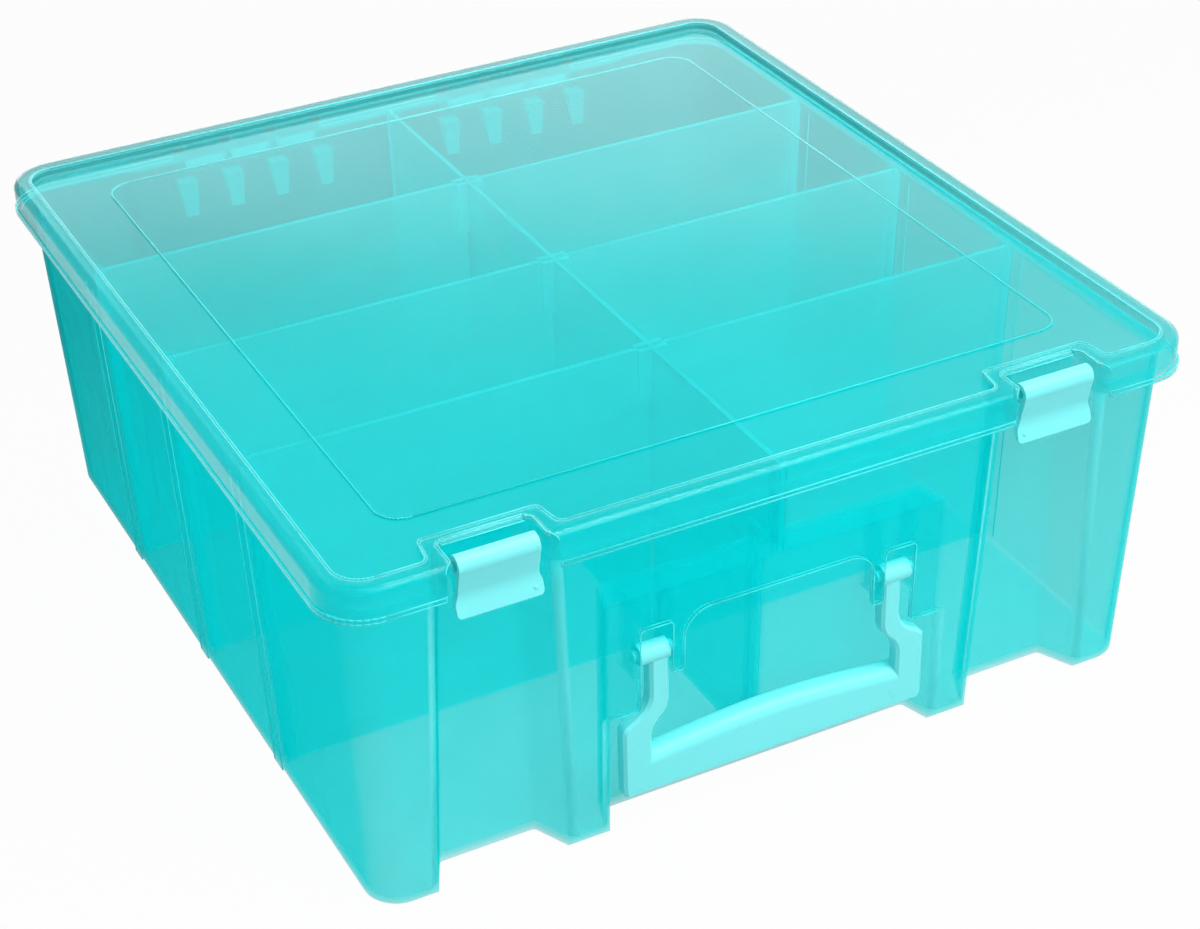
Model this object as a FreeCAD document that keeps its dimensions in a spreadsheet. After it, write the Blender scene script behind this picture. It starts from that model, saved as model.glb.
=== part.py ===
import FreeCAD, Part
import math
import os
import re

import Sketcher
from FreeCAD import Placement, Rotation, Vector

# Craft storage box: a drafted tub, a hinged lid with two snap latches, a fold-out carry handle,
# one long centre divider and six cross dividers. Millimetres, +Z up, the front of the box faces -Y.
# The origin is on the floor under the middle of the lid.

SIZES = {
    # Lid
    "lid_width": 367.0,
    "lid_depth": 387.0,
    "box_height": 154.0,
    "lid_wall": 2.2,
    "lid_corner": 20.0,
    "skirt_height": 14.0,
    "skirt_lip": 0.6,
    "skirt_lip_height": 2.4,
    "rim_width": 8.8,
    "rim_rise": 3.3,
    "rim_round": 3.0,
    "field_side": 37.0,
    "field_front": 39.8,
    "field_back": 34.5,
    "field_rise": 0.7,
    "field_corner": 11.0,
    "lid_gap": 0.4,
    # Latches and their notches in the lid
    "latch_centre": 118.4,
    "notch_width": 36.4,
    "notch_depth": 16.8,
    "notch_rim": 5.6,
    "notch_chamfer": 4.0,
    "notch_round": 2.0,
    "notch_bevel": 2.0,
    "jog_round": 3.0,
    "jog_slant": 2.0,
    "bar_radius": 2.0,
    "bar_setback": 7.3,
    "bar_drop": 5.2,
    "latch_fit": 0.08,
    "latch_wall": 2.2,
    "latch_knuckle": 4.2,
    "latch_width": 31.6,
    "latch_lip_width": 34.0,
    "latch_waist": 3.0,
    "latch_drop": 21.0,
    "latch_lip_height": 6.0,
    "latch_lip_setback": 0.55,
    "latch_edge_round": 0.7,
    "latch_crown": 0.55,
    "waist_round": 10.5,
    "latch_barb": 1.5,
    "barb_width": 15.8,
    # Tub
    "base_width": 341.6,
    "base_depth": 361.2,
    "wall_lean": 5.4,
    "wall": 2.2,
    "floor_wall": 2.4,
    "base_corner": 14.0,
    "edge_round": 2.2,
    "foot_bevel": 1.6,
    "flange_low": 140.8,
    "flange_wall": 2.2,
    "flange_fit": 0.5,
    "strip_width": 9.0,
    "strip_relief": 0.8,
    # Hollows in the front and rear walls
    "recess_depth": 16.8,
    "recess_half_low": 20.3,
    "recess_half_top": 14.5,
    "recess_flank": 0.475,
    "bay_depth": 14.5,
    "bay_half": 69.0,
    "bay_flank": 0.31,
    "shelf_height": 106.0,
    "rear_depth": 3.5,
    "rear_half": 126.0,
    "rear_flank": 0.5,
    "keeper_height": 133.5,
    "keeper_wall": 2.5,
    "keeper_half": 21.0,
    "latch_gap": 0.4,
    # Handle and the shroud that carries it
    "handle_span": 53.6,
    "slot_width": 13.4,
    "slot_top": 93.0,
    "arch_half": 41.5,
    "arch_top": 95.0,
    "arch_round": 11.0,
    "inner_finger_low": 69.0,
    "outer_finger_low": 55.5,
    "finger_round": 1.5,
    "pivot_height": 79.0,
    "pivot_setback": 4.9,
    "boss_radius": 4.3,
    "boss_gap": 0.5,
    "trunnion_radius": 2.4,
    "trunnion_fit": 0.08,
    "trunnion_reach": 1.8,
    "cheek_wall": 2.2,
    "cheek_low": 70.0,
    "arm_width": 8.2,
    "arm_offset": 2.0,
    "arm_depth": 7.0,
    "arm_bevel": 1.2,
    "arm_round": 2.5,
    "elbow_high": 55.0,
    "elbow_low": 47.5,
    "elbow_round": 11.0,
    "elbow_inset": 2.3,
    "shoulder_round": 4.0,
    "foot_width": 12.4,
    "handle_half": 67.5,
    "grip_low": 15.0,
    "grip_end": 32.0,
    "grip_top": 38.0,
    "grip_depth": 11.5,
    "grip_round": 5.0,
    "grip_crown": 300.0,
    # Hinge at the rear
    "hinge_inner": 33.0,
    "hinge_pitch": 22.5,
    "gusset_wall": 3.0,
    "gusset_low": 115.0,
    "gusset_reach": 2.8,
    "hinge_height": 137.6,
    "hinge_setback": 4.2,
    "hinge_radius": 1.6,
    "hinge_fit": 0.08,
    "hook_wall": 1.5,
    "hook_gap": 1.2,
    "hook_web": 3.0,
    "window_top": 147.0,
    # Dividers
    "divider_wall": 1.9,
    "divider_top": 147.0,
    "divider_round": 7.0,
    "divider_foot_round": 3.5,
    "divider_gap": 0.4,
    "slot_gap": 0.35,
    "guide_wall": 2.0,
    "guide_depth": 5.0,
    "cross_middle": 6.0,
    "cross_pitch": 86.0,
    "tab_height": 24.0,
    "tab_reach": 5.5,
    # How far a cutting shape runs past the faces that it cuts
    "overrun": 4.0,
}

HINGE_LEAVES = 4
STATIONS = {"rear": 1, "middle": 0, "front": -1}
SIDES = {"left": -1, "right": 1}

doc = FreeCAD.newDocument("craft_storage_box")
sheet = doc.addObject("Spreadsheet::Sheet", "Sizes")
for row, (alias, number) in enumerate(SIZES.items(), 1):
    sheet.set(f"A{row}", alias)
    sheet.set(f"B{row}", str(number))
    sheet.setAlias(f"B{row}", alias)
doc.recompute()

WORD = re.compile(r"[a-z][a-z_]*")


def formula(text):
    """A size formula with the name of each size pointing into the sheet."""
    return WORD.sub(lambda hit: f"Sizes.{hit[0]}" if hit[0] in SIZES else hit[0], str(text))


def value(text):
    return float(sheet.evalExpression(formula(text)))


def bind(feature, path, text):
    feature.setExpression(path, formula(text))


# Levels and lines that several pieces share
SKIRT_LOW = "(box_height - skirt_height)"
PANEL_TOP = "(box_height - rim_rise)"
PANEL_LOW = f"({PANEL_TOP} - lid_wall)"
WALL_TOP = f"({PANEL_LOW} - lid_gap)"
LID_FRONT = "(-lid_depth / 2)"
NOTCH_BACK = f"({LID_FRONT} + notch_depth)"
NOTCH_ROOM = "(notch_width / 2 + notch_chamfer + lid_wall / 2)"
BAR_Y = f"({LID_FRONT} + bar_setback)"
BAR_Z = "(box_height - bar_drop)"
KNUCKLE_FRONT = f"({BAR_Y} - latch_knuckle)"
LATCH_BACK = f"({KNUCKLE_FRONT} + latch_waist + latch_wall)"
KEEPER_FRONT = f"({LATCH_BACK} + latch_barb + latch_gap)"
PIVOT_Y = f"(-base_depth / 2 - wall_lean * pivot_height / {WALL_TOP} + pivot_setback)"
HINGE_Y = f"(base_depth / 2 + wall_lean * hinge_height / {WALL_TOP} + hinge_setback)"
HOOK_RADIUS = "(hinge_radius + hinge_fit + hook_wall)"


def lean_at(height):
    return f"wall_lean * ({height}) / {WALL_TOP}"


def half_x(height, inset="0"):
    return f"(base_width / 2 + {lean_at(height)} - {inset})"


def half_y(height, inset="0"):
    return f"(base_depth / 2 + {lean_at(height)} - {inset})"


def station_y(station):
    return f"(cross_middle + cross_pitch * {STATIONS[station]})"


def origin_plane(body, role):
    return next(plane for plane in body.Origin.OriginFeatures if plane.Role == role)


def new_body(name):
    body = doc.addObject("PartDesign::Body", name)
    body.Label = name
    return body


def new_sketch(body, name, role, lift):
    sketch = body.newObject("Sketcher::SketchObject", name)
    sketch.AttachmentSupport = [(origin_plane(body, role), "")]
    sketch.MapMode = "FlatFace"
    bind(sketch, "AttachmentOffset.Base.z", lift)
    return sketch


def fix_point(sketch, geometry, position, corner):
    """Ties a point of a sketch to two size formulas."""
    for kind, text in zip(("DistanceX", "DistanceY"), corner):
        constraint = Sketcher.Constraint(kind, -1, 1, geometry, position, value(text))
        bind(sketch, f"Constraints[{sketch.addConstraint(constraint)}]", text)


def add_loop(sketch, corners):
    """Adds a closed outline. Each corner is (x, y) or (x, y, radius), as size formulas."""
    points = [Vector(value(corner[0]), value(corner[1])) for corner in corners]
    count = len(points)
    ends = []
    for index, point in enumerate(points):
        before = (points[index - 1] - point).normalize()
        after = (points[(index + 1) % count] - point).normalize()
        radius = value(corners[index][2]) if len(corners[index]) > 2 else 0.0
        half_angle = before.getAngle(after) / 2
        reach = radius / math.tan(half_angle)
        ends.append((point + before * reach, point + after * reach, radius, half_angle, before, after))
    lines = [
        sketch.addGeometry(Part.LineSegment(ends[index][1], ends[(index + 1) % count][0]))
        for index in range(count)
    ]
    for index, (start, stop, radius, half_angle, before, after) in enumerate(ends):
        line_in, line_out = lines[index - 1], lines[index]
        if not radius:
            sketch.addConstraint(Sketcher.Constraint("Coincident", line_in, 2, line_out, 1))
            fix_point(sketch, line_out, 1, corners[index])
            continue
        centre = points[index] + (before + after).normalize() * (radius / math.sin(half_angle))
        turns_left = before.cross(after).z < 0
        first, last = (start, stop) if turns_left else (stop, start)
        angles = [math.atan2((tip - centre).y, (tip - centre).x) for tip in (first, last)]
        circle = Part.Circle(centre, Vector(0, 0, 1), radius)
        arc = sketch.addGeometry(Part.ArcOfCircle(circle, *angles))
        corner = sketch.addGeometry(Part.Point(points[index]), True)
        arc_in, arc_out = (1, 2) if turns_left else (2, 1)
        sketch.addConstraint(Sketcher.Constraint("Tangent", line_in, 2, arc, arc_in))
        sketch.addConstraint(Sketcher.Constraint("Tangent", arc, arc_out, line_out, 1))
        sketch.addConstraint(Sketcher.Constraint("PointOnObject", corner, 1, line_in))
        sketch.addConstraint(Sketcher.Constraint("PointOnObject", corner, 1, line_out))
        fix_point(sketch, corner, 1, corners[index])
        rounding = sketch.addConstraint(Sketcher.Constraint("Radius", arc, radius))
        bind(sketch, f"Constraints[{rounding}]", corners[index][2])


def outline(body, name, role, loops, lift="0"):
    """A sketch of closed outlines on one of the body's own planes, lifted along its normal."""
    sketch = new_sketch(body, name, role, lift)
    for corners in loops:
        add_loop(sketch, corners)
    return sketch


def disc(body, name, role, centre, radius, lift="0"):
    sketch = new_sketch(body, name, role, lift)
    start = Vector(value(centre[0]), value(centre[1]))
    circle = sketch.addGeometry(Part.Circle(start, Vector(0, 0, 1), value(radius)))
    fix_point(sketch, circle, 3, centre)
    size = sketch.addConstraint(Sketcher.Constraint("Radius", circle, value(radius)))
    bind(sketch, f"Constraints[{size}]", radius)
    return sketch


def extrude(body, kind, sketch, length, middle=False, back=False):
    """A pad or pocket. Middle runs it half each way, back runs it against its usual direction."""
    feature = body.newObject(f"PartDesign::{kind}", f"{sketch.Name}_{kind.lower()}")
    feature.Profile = sketch
    bind(feature, "Length", length)
    feature.Midplane = middle
    feature.Reversed = back
    doc.recompute()
    return feature


def pad(body, sketch, length, middle=False, back=False):
    return extrude(body, "Pad", sketch, length, middle, back)


def pocket(body, sketch, length, middle=False, back=False):
    return extrude(body, "Pocket", sketch, length, middle, back)


def loft(body, kind, sketches):
    feature = body.newObject(f"PartDesign::{kind}Loft", f"{sketches[0].Name}_loft")
    feature.Profile = sketches[0]
    feature.Sections = sketches[1:]
    feature.Ruled = True
    doc.recompute()
    return feature


def dress_edges(body, kind, field, size, wanted):
    """Rounds or bevels the edges of the body so far that the given test picks."""
    base = body.Tip
    names = [f"Edge{index}" for index, edge in enumerate(base.Shape.Edges, 1) if wanted(edge)]
    feature = body.newObject(f"PartDesign::{kind}", f"{base.Name}_{kind.lower()}")
    feature.Base = (base, names)
    bind(feature, field, size)
    doc.recompute()
    return feature


def round_edges(body, radius, wanted):
    return dress_edges(body, "Fillet", "Radius", radius, wanted)


def bevel_edges(body, size, wanted):
    return dress_edges(body, "Chamfer", "Size", size, wanted)


def lies_at_height(edge, height):
    box = edge.BoundBox
    return abs(box.ZMin - height) < 0.01 and abs(box.ZMax - height) < 0.01


def rectangle(x_low, y_low, x_high, y_high, radius=None):
    corners = [(x_low, y_low), (x_high, y_low), (x_high, y_high), (x_low, y_high)]
    return [corner + (radius,) for corner in corners] if radius else corners


def centred(x_half, y_half, radius=None):
    return rectangle(f"-{x_half}", f"-{y_half}", x_half, y_half, radius)


# Tub

def drafted_block(name, levels):
    """A block that widens upwards as the walls of the tub do. Each level has its inset from their faces."""
    body = new_body(name)
    sections = []
    for level, (height, inset) in levels.items():
        plan = centred(half_x(height, inset), half_y(height, inset), f"(base_corner - {inset})")
        sections.append(outline(body, f"{name}_{level}", "XY_Plane", [plan], height))
    loft(body, "Additive", sections)
    return body


def hollow_section(side, centre, half, flank, depth, height, grow):
    """Plan of a hollow that is pressed into the front or rear wall, at one height."""
    panel = f"({half_y(height)} - {depth} - {grow})"
    mouth = f"({half_y(WALL_TOP)} + overrun)"
    inner = f"({half} + {grow} * (sqrt(1 + {flank} ^ 2) - {flank}))"
    outer = f"({inner} + {flank} * ({mouth} - {panel}))"
    return [
        (f"{centre} - {outer}", f"{side} * {mouth}"),
        (f"{centre} + {outer}", f"{side} * {mouth}"),
        (f"{centre} + {inner}", f"{side} * {panel}"),
        (f"{centre} - {inner}", f"{side} * {panel}"),
    ]


def press_hollow(body, name, side, centre, halves, flank, depth, top, grow):
    sections = []
    for level, height, half in (("low", "-overrun", halves[0]), ("top", top, halves[1])):
        plan = hollow_section(side, centre, half, flank, depth, height, grow)
        sections.append(outline(body, f"{name}_{level}", "XY_Plane", [plan], height))
    loft(body, "Subtractive", sections)


def press_hollows(body, prefix, grow):
    """The latch recesses and the handle bay at the front, and the wide rear panel."""
    above = f"({WALL_TOP} + overrun)"
    halves = ("recess_half_low", "recess_half_top")
    for name, sign in SIDES.items():
        press_hollow(body, f"{prefix}_recess_{name}", -1, f"{sign} * latch_centre", halves,
                     "recess_flank", "recess_depth", above, grow)
    press_hollow(body, f"{prefix}_bay", -1, "0", ("bay_half", "bay_half"),
                 "bay_flank", "bay_depth", f"(shelf_height + {grow})", grow)
    press_hollow(body, f"{prefix}_rear", 1, "0", ("rear_half", "rear_half"),
                 "rear_flank", "rear_depth", above, grow)


def wall_bands(outward, inward, low, top):
    """Two bands that follow the left and right walls, as seen from the front."""
    right = [
        (half_x(low, inward), low),
        (half_x(low, f"(-{outward})"), low),
        (half_x(top, f"(-{outward})"), top),
        (half_x(top, inward), top),
    ]
    left = [(f"-{x}", z) for x, z in reversed(right)]
    return [left, right]


def add_strips(body):
    """The flat strips outside the side walls, over the slots of the cross dividers."""
    for station in STATIONS:
        bands = wall_bands("strip_relief", "wall", "foot_bevel", "flange_low")
        sketch = outline(body, f"strip_{station}", "XZ_Plane", bands, f"-{station_y(station)}")
        pad(body, sketch, "strip_width", middle=True)


def add_flange(body):
    """The rim flange, cut away for the hooks of the hinge."""
    reach_x = "(lid_width / 2 - skirt_lip - lid_wall - flange_fit)"
    reach_y = "(lid_depth / 2 - skirt_lip - lid_wall - flange_fit)"
    plan = centred(reach_x, reach_y, "(lid_corner - lid_wall - flange_fit)")
    pad(body, outline(body, "flange", "XY_Plane", [plan], "flange_low"), "flange_wall")
    cuts = []
    for sign in SIDES.values():
        low, high = sorted((hinge_edge(sign, 0), hinge_edge(sign, HINGE_LEAVES - 1)), key=value)
        wall_face = half_y("flange_low", "wall / 2")
        cuts.append(rectangle(low, wall_face, high, "(lid_depth / 2 + overrun)"))
    sketch = outline(body, "flange_cuts", "XY_Plane", cuts, "(flange_low - flange_wall / 2)")
    pocket(body, sketch, "(flange_wall * 2)", back=True)


def cut_latch_gaps(body):
    """Lowers the rim of the tub where the notches of the lid come down."""
    room = f"({NOTCH_ROOM} + flange_fit)"
    back = f"({NOTCH_BACK} + lid_wall + flange_fit)"
    plans = [
        rectangle(f"{sign} * latch_centre - {room}", f"({LID_FRONT} - overrun)",
                  f"{sign} * latch_centre + {room}", back)
        for sign in SIDES.values()
    ]
    sketch = outline(body, "latch_gaps", "XY_Plane", plans, f"({SKIRT_LOW} - flange_fit)")
    pocket(body, sketch, "skirt_height", back=True)


def add_keepers(body):
    """The ledges under the lid that the latches snap below."""
    panel = f"(-{half_y('keeper_height', 'recess_depth')} + wall / 2)"
    plans = [
        rectangle(f"{sign} * latch_centre - keeper_half", KEEPER_FRONT,
                  f"{sign} * latch_centre + keeper_half", panel)
        for sign in SIDES.values()
    ]
    pad(body, outline(body, "keepers", "XY_Plane", plans, "keeper_height"), "keeper_wall")


def hinge_x(sign, leaf):
    return f"({sign} * (hinge_inner + hinge_pitch * {leaf}))"


def hinge_edge(sign, leaf):
    """Outer side of the first or last gusset of a hinge."""
    outward = 1 if leaf else -1
    return f"({sign} * (hinge_inner + hinge_pitch * {leaf} + {outward} * gusset_wall / 2))"


def add_hinge_gussets(body):
    """Tapered gussets outside the rear wall, with the hinge pins that they carry."""
    rear = f"({half_y('gusset_low', 'rear_depth')} - wall / 2)"
    tip = f"({HINGE_Y} + gusset_reach)"
    low_tip = f"({HINGE_Y} + gusset_reach - hinge_setback)"
    profile = [(rear, "gusset_low"), (low_tip, "hinge_height - 2 * hinge_setback"),
               (tip, "(hinge_height - hinge_radius)"), (tip, "(flange_low + flange_wall)"),
               (rear, "(flange_low + flange_wall)")]
    for name, sign in SIDES.items():
        for leaf in range(HINGE_LEAVES):
            lift = hinge_x(sign, leaf)
            sketch = outline(body, f"gusset_{name}_{leaf}", "YZ_Plane", [profile], lift)
            pad(body, sketch, "gusset_wall", middle=True)
        sketch = disc(body, f"hinge_pin_{name}", "YZ_Plane", (HINGE_Y, "hinge_height"), "hinge_radius",
                      f"({sign} * (hinge_inner + hinge_pitch * {HINGE_LEAVES - 1} / 2))")
        pad(body, sketch, f"hinge_pitch * {HINGE_LEAVES - 1}", middle=True)


def add_shroud(body):
    """The plate in front of the handle bay, with an arch for the hand and two slots for the arms."""
    top = "(shelf_height + wall)"
    edge = "(bay_half + bay_flank * bay_depth + wall)"
    slot_in, slot_out = "(handle_span - slot_width / 2)", "(handle_span + slot_width / 2)"
    half = [
        (edge, top), (edge, "outer_finger_low"), (slot_out, "outer_finger_low", "finger_round"),
        (slot_out, "slot_top", "finger_round"), (slot_in, "slot_top", "finger_round"),
        (slot_in, "inner_finger_low", "finger_round"), ("arch_half", "inner_finger_low", "finger_round"),
        ("arch_half", "arch_top", "arch_round"),
    ]
    mirrored = [(f"-{corner[0]}",) + corner[1:] for corner in reversed(half)]
    sketch = outline(body, "shroud", "XZ_Plane", [half + mirrored], "base_depth / 2")
    sketch.AttachmentOffset = Placement(Vector(0, 0, value("base_depth / 2")), Rotation(Vector(1, 0, 0), 1))
    bind(sketch, "AttachmentOffset.Base.z", "base_depth / 2")
    bind(sketch, "AttachmentOffset.Rotation.Angle", f"atan(wall_lean / {WALL_TOP})")
    pad(body, sketch, "wall", back=True)


def add_cheeks(body):
    """Plates on both sides of each arm, from the shroud to the wall of the bay, bored for the handle."""
    front = f"(-{half_y('cheek_low', 'wall / 2')})"
    back = f"(-{half_y('cheek_low', 'bay_depth')} + wall / 2)"
    plans = []
    for sign in SIDES.values():
        for edge in (-1, 1):
            near = f"(handle_span + {edge} * slot_width / 2)"
            far = f"(handle_span + {edge} * (slot_width / 2 + cheek_wall))"
            low, high = sorted((f"{sign} * {near}", f"{sign} * {far}"), key=value)
            plans.append(rectangle(low, front, high, back))
    sketch = outline(body, "cheeks", "XY_Plane", plans, "cheek_low")
    pad(body, sketch, "(shelf_height + wall / 2 - cheek_low)")
    bore = disc(body, "trunnion_bores", "YZ_Plane", (PIVOT_Y, "pivot_height"),
                "(trunnion_radius + trunnion_fit)")
    pocket(body, bore, "2 * (handle_span + slot_width)", middle=True)


def cut_guides(body):
    """Leaves pairs of guide ribs standing on the inside of the walls, for the dividers."""
    beside = "(divider_wall / 2 + slot_gap + guide_wall / 2)"
    above = f"({WALL_TOP} + overrun)"
    for station in STATIONS:
        for side, sign in (("a", -1), ("b", 1)):
            bands = wall_bands("overrun", "(wall + guide_depth)", "0", above)
            lift = f"-({station_y(station)} + {sign} * {beside})"
            sketch = outline(body, f"guide_{station}_{side}", "XZ_Plane", bands, lift)
            pocket(body, sketch, "guide_wall", middle=True)
    ledge = "(shelf_height + wall + guide_depth)"
    outside = f"({half_y(WALL_TOP)} + overrun)"
    front = [
        (f"-{outside}", "0"),
        (f"-{half_y('0', '(bay_depth + wall + guide_depth)')}", "0"),
        (f"-{half_y(ledge, '(bay_depth + wall + guide_depth)')}", ledge),
        (f"-{half_y(ledge, '(wall + guide_depth)')}", ledge),
        (f"-{half_y(above, '(wall + guide_depth)')}", above),
        (f"-{outside}", above),
    ]
    rear = [
        (outside, "0"), (outside, above),
        (half_y(above, "(rear_depth + wall + guide_depth)"), above),
        (half_y("0", "(rear_depth + wall + guide_depth)"), "0"),
    ]
    for side, sign in SIDES.items():
        sketch = outline(body, f"guide_centre_{side}", "YZ_Plane", [front, rear], f"{sign} * {beside}")
        pocket(body, sketch, "guide_wall", middle=True)


def make_tub():
    levels = {"foot": ("0", "foot_bevel"), "low": ("foot_bevel", "0"), "top": (WALL_TOP, "0")}
    outside = drafted_block("tub_outside", levels)
    press_hollows(outside, "outside", "0")
    corner_start = value("base_width / 2 - base_corner - edge_round")
    tall = value("shelf_height / 2")
    round_edges(outside, "edge_round", lambda edge: edge.BoundBox.ZLength > tall
                and max(abs(edge.BoundBox.XMin), abs(edge.BoundBox.XMax)) < corner_start)
    add_strips(outside)
    add_flange(outside)
    cut_latch_gaps(outside)
    add_keepers(outside)
    add_hinge_gussets(outside)
    add_shroud(outside)
    add_cheeks(outside)
    levels = {"low": ("floor_wall", "wall"), "top": (f"({WALL_TOP} + overrun)", "wall")}
    inside = drafted_block("tub_inside", levels)
    press_hollows(inside, "inside", "wall")
    cut_guides(inside)
    tub = doc.addObject("Part::Cut", "base_tub")
    tub.Base, tub.Tool = outside, inside
    return tub


# Lid

def notched(x_half, y_half, corner, room, depth, rounding, slant="0"):
    """Plan of the lid with a jog round each latch notch. A slanted jog is rounded at its feet too."""
    front, back = f"-{y_half}", f"({LID_FRONT} + {depth})"
    low = f"(latch_centre - {room})"
    high = f"(latch_centre + {room})"
    foot = () if slant == "0" else (rounding,)
    jog = [(f"({high} + {slant})", front) + foot, (high, back, rounding),
           (low, back, rounding), (f"({low} - {slant})", front) + foot]
    right = [(x_half, y_half, corner), (x_half, front, corner)] + jog
    left = [(f"-{point[0]}",) + point[1:] for point in reversed(right)]
    return right + left


def cut_notches(body):
    """The two latch notches, with bevelled mouths and a bevel along the top of the rear wall."""
    front = f"({LID_FRONT} - overrun)"
    mouth = f"({LID_FRONT} + notch_chamfer)"
    wide = "(notch_width / 2 + notch_chamfer + overrun)"
    plans = []
    for sign in SIDES.values():
        centre = f"{sign} * latch_centre"
        plans.append([
            (f"{centre} - {wide}", front), (f"{centre} + {wide}", front),
            (f"{centre} + notch_width / 2", mouth, "notch_round"),
            (f"{centre} + notch_width / 2", NOTCH_BACK, "notch_round"),
            (f"{centre} - notch_width / 2", NOTCH_BACK, "notch_round"),
            (f"{centre} - notch_width / 2", mouth, "notch_round"),
        ])
    pocket(body, outline(body, "notches", "XY_Plane", plans, "box_height"), "skirt_height")
    bevel = [(f"({NOTCH_BACK} - notch_bevel)", "box_height"), (f"({NOTCH_BACK} + notch_bevel)", "box_height"),
             (f"({NOTCH_BACK} - notch_bevel)", "(box_height - 2 * notch_bevel)")]
    for name, sign in SIDES.items():
        sketch = outline(body, f"notch_bevel_{name}", "YZ_Plane", [bevel], f"{sign} * latch_centre")
        pocket(body, sketch, "(notch_width - 2 * notch_round)", middle=True)


def hollow_lid(body):
    """The room under the lid, and the channel under its raised rim."""
    x_half = "(lid_width / 2 - skirt_lip - lid_wall)"
    y_half = "(lid_depth / 2 - skirt_lip - lid_wall)"
    outer_corner, inner_corner = "(lid_corner - lid_wall)", "(lid_corner - rim_width)"
    plan = notched(x_half, y_half, outer_corner, NOTCH_ROOM, "(notch_depth + lid_wall)", "notch_round")
    sketch = outline(body, "lid_room", "XY_Plane", [plan], SKIRT_LOW)
    pocket(body, sketch, f"({PANEL_LOW} - {SKIRT_LOW})", back=True)
    inner_x = "(lid_width / 2 - rim_width + lid_wall)"
    inner_y = "(lid_depth / 2 - rim_width + lid_wall)"
    stop = f"(latch_centre + {NOTCH_ROOM})"
    right = [
        (stop, f"-{inner_y}"), (stop, f"-{y_half}"), (x_half, f"-{y_half}", outer_corner),
        (x_half, y_half, outer_corner),
    ]
    inside = [(inner_x, inner_y, inner_corner), (inner_x, f"-{inner_y}", inner_corner)]
    left = [(f"-{corner[0]}",) + corner[1:] for corner in reversed(right)]
    other = [(f"-{corner[0]}",) + corner[1:] for corner in reversed(inside)]
    middle = f"(latch_centre - {NOTCH_ROOM})"
    channels = [right + left + other + inside, rectangle(f"-{middle}", f"-{y_half}", middle, f"-{inner_y}")]
    pocket(body, outline(body, "rim_channel", "XY_Plane", channels, PANEL_LOW), "rim_rise", back=True)


def add_hooks(body):
    """Hooks that hang from the rear of the lid between the gussets and turn on the hinge pins."""
    windows = []
    for sign in SIDES.values():
        ends = [f"({hinge_edge(sign, leaf)} + {way} * {sign} * hook_gap)"
                for leaf, way in ((0, -1), (HINGE_LEAVES - 1, 1))]
        low, high = sorted(ends, key=value)
        windows.append(rectangle(low, "(lid_depth / 2 - rim_width)", high, "(lid_depth / 2 + overrun)"))
    sketch = outline(body, "hinge_windows", "XY_Plane", windows, SKIRT_LOW)
    pocket(body, sketch, f"(window_top - {SKIRT_LOW})", back=True)
    web_in, web_out = f"({HINGE_Y} + {HOOK_RADIUS} - hook_web)", f"({HINGE_Y} + {HOOK_RADIUS})"
    web = rectangle(web_in, "hinge_height", web_out, f"({PANEL_LOW} + lid_wall / 2)")
    width = "(hinge_pitch - gusset_wall - 2 * hook_gap)"
    axis = (HINGE_Y, "hinge_height")
    for name, sign in SIDES.items():
        for gap in range(HINGE_LEAVES - 1):
            lift = f"({sign} * (hinge_inner + hinge_pitch * ({gap} + 0.5)))"
            sketch = outline(body, f"hook_web_{name}_{gap}", "YZ_Plane", [web], lift)
            pad(body, sketch, width, middle=True)
            sketch = disc(body, f"hook_{name}_{gap}", "YZ_Plane", axis, HOOK_RADIUS, lift)
            pad(body, sketch, width, middle=True)
    bore = disc(body, "hook_bores", "YZ_Plane", axis, "(hinge_radius + hinge_fit)")
    pocket(body, bore, "lid_width", middle=True)


def make_lid():
    body = new_body("lid")
    plan = centred("(lid_width / 2 - skirt_lip)", "(lid_depth / 2 - skirt_lip)", "lid_corner")
    pad(body, outline(body, "lid_block", "XY_Plane", [plan], SKIRT_LOW), "skirt_height")
    round_edges(body, "rim_round", lambda edge: lies_at_height(edge, value("box_height")))
    plan = centred("(lid_width / 2)", "(lid_depth / 2)", "lid_corner")
    pad(body, outline(body, "skirt_lip", "XY_Plane", [plan], SKIRT_LOW), "skirt_lip_height")
    panel = notched("(lid_width / 2 - rim_width)", "(lid_depth / 2 - rim_width)", "(lid_corner - rim_width)",
                    "(notch_width / 2 + notch_rim)", "(notch_depth + notch_rim)", "jog_round", "jog_slant")
    pocket(body, outline(body, "panel", "XY_Plane", [panel], "box_height"), "rim_rise")
    field = rectangle("-(lid_width / 2 - field_side)", "-(lid_depth / 2 - field_front)",
                      "(lid_width / 2 - field_side)", "(lid_depth / 2 - field_back)", "field_corner")
    pad(body, outline(body, "field", "XY_Plane", [field], f"({PANEL_TOP} - lid_wall / 2)"),
        "(lid_wall / 2 + field_rise)")
    cut_notches(body)
    hollow_lid(body)
    for name, sign in SIDES.items():
        bar = disc(body, f"bar_{name}", "YZ_Plane", (BAR_Y, BAR_Z), "bar_radius", f"{sign} * latch_centre")
        pad(body, bar, "(notch_width + lid_wall)", middle=True)
    add_hooks(body)
    return body


# Latches

def latch_profile():
    """Side view of the latch plate: it leaves the knuckle, draws in at the waist and flares to a lip."""
    waist = f"({KNUCKLE_FRONT} + latch_waist)"
    bottom = f"({BAR_Z} - latch_drop)"
    middle = f"({bottom} + latch_lip_height + latch_wall)"
    lip = f"({KNUCKLE_FRONT} + latch_lip_setback)"
    return [
        (KNUCKLE_FRONT, BAR_Z), (waist, middle, "waist_round"), (lip, bottom, "latch_edge_round"),
        (f"({lip} + latch_wall)", bottom, "latch_edge_round"),
        (f"({waist} + latch_wall)", middle, "waist_round"), (f"({KNUCKLE_FRONT} + latch_wall)", BAR_Z),
    ]


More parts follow.
